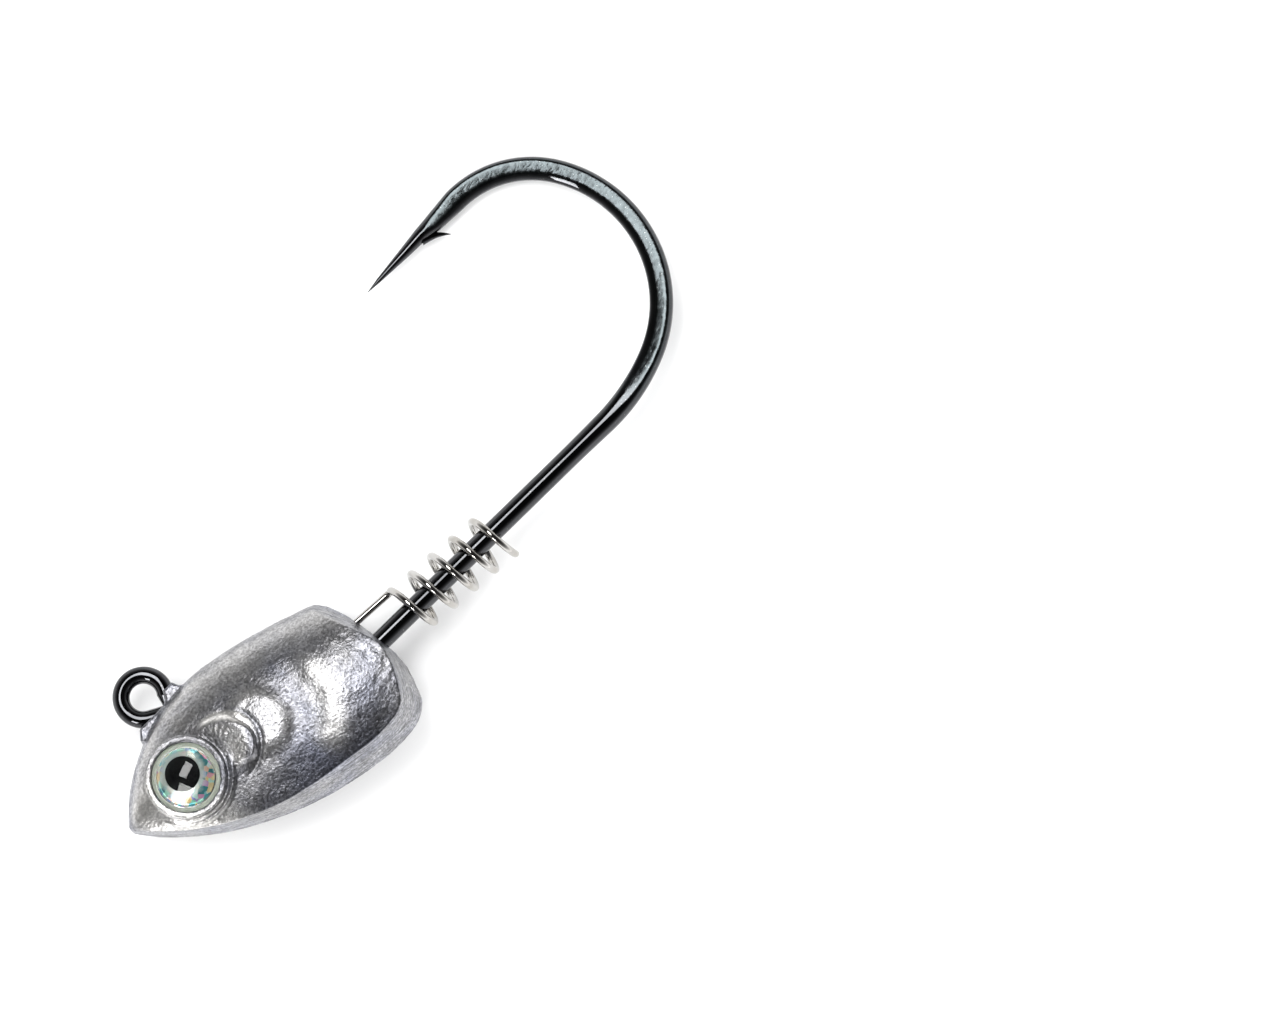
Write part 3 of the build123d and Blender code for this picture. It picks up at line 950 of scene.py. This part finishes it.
def make_foil(side, place):
    """The foil disc, embossed with faint rings."""
    base = BACKING_THICKNESS
    rings = 9
    profile = [(0, base - 0.02), (FOIL_RADIUS, base - 0.02), (FOIL_RADIUS, base + 0.05)]
    for k in range(1, rings):
        profile.append((FOIL_RADIUS * (1 - k / rings), base + 0.06 + 0.02 * (k % 2)))
    profile.append((0, base + 0.07))
    return lathe(side + "_eye_foil_disc", profile, place)


def make_pupil(side, place):
    base = BACKING_THICKNESS
    return lathe(side + "_eye_pupil_disc", (
        (0, base + 0.1), (PUPIL_RADIUS, base + 0.1), (PUPIL_RADIUS, base + 0.13),
        (PUPIL_RADIUS - 0.04, base + 0.15), (0.8, base + 0.16), (0, base + 0.16),
    ), place @ Matrix.Translation((0, PUPIL_SHIFT, 0)))


def lean_floor(dome, place, floor):
    """Leans the resin's flat underside a little, as it dries over the print."""
    back = place.inverted()
    across, up = RESIN_LEAN_TO
    for vertex in dome.data.vertices:
        local = back @ (vertex.co / MM)
        if abs(local.z - floor) < 0.01:
            local.z += math.tan(RESIN_LEAN) * (across * local.x + up * local.y)
            vertex.co = (place @ local) * MM


def make_dome(side, place):
    """The resin: a cap of a sphere over a recess that clears the foil and the pupil."""
    base = BACKING_THICKNESS
    rim = DOME_RADIUS
    radius = (rim ** 2 + DOME_HEIGHT ** 2) / (2 * DOME_HEIGHT)
    floor = base + 0.3
    profile = [(0, floor), (FOIL_RADIUS + 0.05, floor)]
    profile += [(FOIL_RADIUS + 0.12, base + 0.01), (rim - 0.06, base + 0.01)]
    profile.append((rim - 0.02, base + 0.03))
    widest = math.asin(rim / radius)
    steps = 26
    for k in range(1, steps):
        angle = widest * (1 - k / steps)
        drop = radius * (1 - math.cos(angle))
        profile.append((radius * math.sin(angle), base + DOME_HEIGHT - drop))
    profile.append((0, base + DOME_HEIGHT))
    dome = lathe(side + "_eye_resin_dome", profile, place)
    lean_floor(dome, place, floor)
    shade_by_angle(dome, 40)
    return dome


def make_eye(side, foil_material, shared):
    place = eye_place(side)
    backing = make_backing(side, place)
    foil = make_foil(side, place)
    pupil = make_pupil(side, place)
    dome = make_dome(side, place)
    finish_piece(backing, shared["paper"], "eye_backing", side + "_eye_backing")
    finish_piece(foil, foil_material, "eye_foil", side + "_eye_foil")
    finish_piece(pupil, shared["ink"], "eye_pupil", side + "_eye_pupil")
    finish_piece(dome, shared["resin"], "eye_dome", side + "_eye_dome")


# ---------------------------------------------------------------- stage

def lie_axes():
    """The floor's normal and, lying in the floor, the directions nearest the jig's X and Y."""
    normal = Vector((-math.tan(LIE_PITCH), -math.tan(LIE_ROLL), 1)).normalized()
    along = Vector((1, 0, 0))
    along = (along - normal * along.dot(normal)).normalized()
    return along, normal.cross(along), normal


def make_floor(pieces):
    """A flat table under the lowest of the pieces."""
    along, across, normal = lie_axes()
    lowest = min(normal.dot(v.co) for piece in pieces for v in piece.data.vertices)
    corners = [
        normal * lowest + along * a * FLOOR_HALF + across * b * FLOOR_HALF
        for a, b in ((-1, -1), (1, -1), (1, 1), (-1, 1))
    ]
    floor = new_object("floor", [c / MM for c in corners], [(0, 1, 2, 3)], False)
    floor.data.materials.append(studio_floor())


def make_camera():
    """Straight down on the jig as it lies, turned so that the shank runs up to the right."""
    along, across, normal = lie_axes()
    right = along * math.cos(CAMERA_TURN) - across * math.sin(CAMERA_TURN)
    up = along * math.sin(CAMERA_TURN) + across * math.cos(CAMERA_TURN)
    data = bpy.data.cameras.new("camera")
    data.sensor_width = 36.0
    data.lens = data.sensor_width * CAMERA_DISTANCE / CAMERA_FRAME_WIDTH
    data.clip_start = 0.01
    data.clip_end = 20.0
    camera = bpy.data.objects.new("camera", data)
    bpy.context.scene.collection.objects.link(camera)
    target = along * CAMERA_AIM[0] + across * CAMERA_AIM[1]
    turn = Matrix((right, up, normal)).transposed().to_4x4()
    camera.matrix_world = Matrix.Translation(target + normal * CAMERA_DISTANCE) @ turn
    bpy.context.scene.camera = camera


def add_softbox(name, tilt, bearing, size, radiance, spin):
    """A rectangular light over the jig, all angles in degrees: tilt from the floor's normal,
    bearing from the shank, size as seen from the jig, and spin about its own direction."""
    along, across, normal = lie_axes()
    tilt, bearing, spin = (math.radians(angle) for angle in (tilt, bearing, spin))
    width, height = (2 * LAMP_DISTANCE * math.tan(math.radians(angle) / 2) for angle in size)
    outward = along * math.cos(bearing) + across * math.sin(bearing)
    direction = normal * math.cos(tilt) + outward * math.sin(tilt)
    data = bpy.data.lights.new(name, "AREA")
    data.shape = "RECTANGLE"
    data.size = width
    data.size_y = height
    data.energy = radiance * math.pi * width * height
    lamp = bpy.data.objects.new(name, data)
    side = along * math.cos(spin) + across * math.sin(spin)
    side = (side - direction * side.dot(direction)).normalized()
    turn = Matrix((side, direction.cross(side), direction)).transposed().to_4x4()
    aim = along * LAMP_AIM[0] + across * LAMP_AIM[1]
    lamp.matrix_world = Matrix.Translation(aim + direction * LAMP_DISTANCE) @ turn
    bpy.context.scene.collection.objects.link(lamp)


def make_world():
    """A white room for what lights the table, and a dark ceiling over a bright horizon for what
    the metal mirrors."""
    world = bpy.data.worlds.new("studio")
    world.use_nodes = True
    nodes = world.node_tree.nodes
    links = world.node_tree.links
    place = nodes.new("ShaderNodeTexCoord")
    split = nodes.new("ShaderNodeSeparateXYZ")
    links.new(place.outputs["Generated"], split.inputs["Vector"])
    mirrored = nodes.new("ShaderNodeBackground")
    room = nodes["Background"]
    for background, stops in ((mirrored, MIRRORED_STOPS), (room, ROOM_STOPS)):
        ramp = nodes.new("ShaderNodeValToRGB")
        while len(ramp.color_ramp.elements) < len(stops):
            ramp.color_ramp.elements.new(0.5)
        for element, (position, value) in zip(ramp.color_ramp.elements, stops):
            element.position = position
            element.color = (value, value, value, 1)
        links.new(split.outputs["Z"], ramp.inputs["Fac"])
        links.new(ramp.outputs["Color"], background.inputs["Color"])
    path = nodes.new("ShaderNodeLightPath")
    choice = nodes.new("ShaderNodeMixShader")
    links.new(path.outputs["Is Glossy Ray"], choice.inputs["Fac"])
    links.new(room.outputs["Background"], choice.inputs[1])
    links.new(mirrored.outputs["Background"], choice.inputs[2])
    links.new(choice.outputs["Shader"], nodes["World Output"].inputs["Surface"])
    bpy.context.scene.world = world


def light_stage():
    """A broad key light over the back and a smaller fill beyond the snout."""
    add_softbox("key_softbox", 23.5, 86.532, (33, 17.6), radiance=9.5, spin=22)
    add_softbox("fill_softbox", 53, -167.221, (16, 12), radiance=13.0, spin=15)
    make_world()
    view = bpy.context.scene.view_settings
    view.view_transform = "Standard"
    view.look = "None"


# ---------------------------------------------------------------- the jig

def main():
    hook = make_hook()
    finish_piece(hook, black_nickel(), "hook_wire", "hook")
    keeper = make_keeper()
    finish_piece(keeper, bright_nickel(), "keeper_wire", "keeper_coil")
    head = make_head(eye_place("left").translation)
    finish_piece(head, cast_lead(), "lead", "lead_head")
    shared = {"paper": eye_paper(), "ink": pupil_ink(), "resin": clear_resin()}
    for side in ("left", "right"):
        centre = eye_place(side) @ Vector((0, PUPIL_SHIFT, BACKING_THICKNESS))
        make_eye(side, holographic_foil(centre * MM), shared)
    domes = [piece for piece in bpy.data.objects if "resin_dome" in piece.name]
    make_floor([head, hook, keeper, *domes])
    make_camera()
    light_stage()


main()
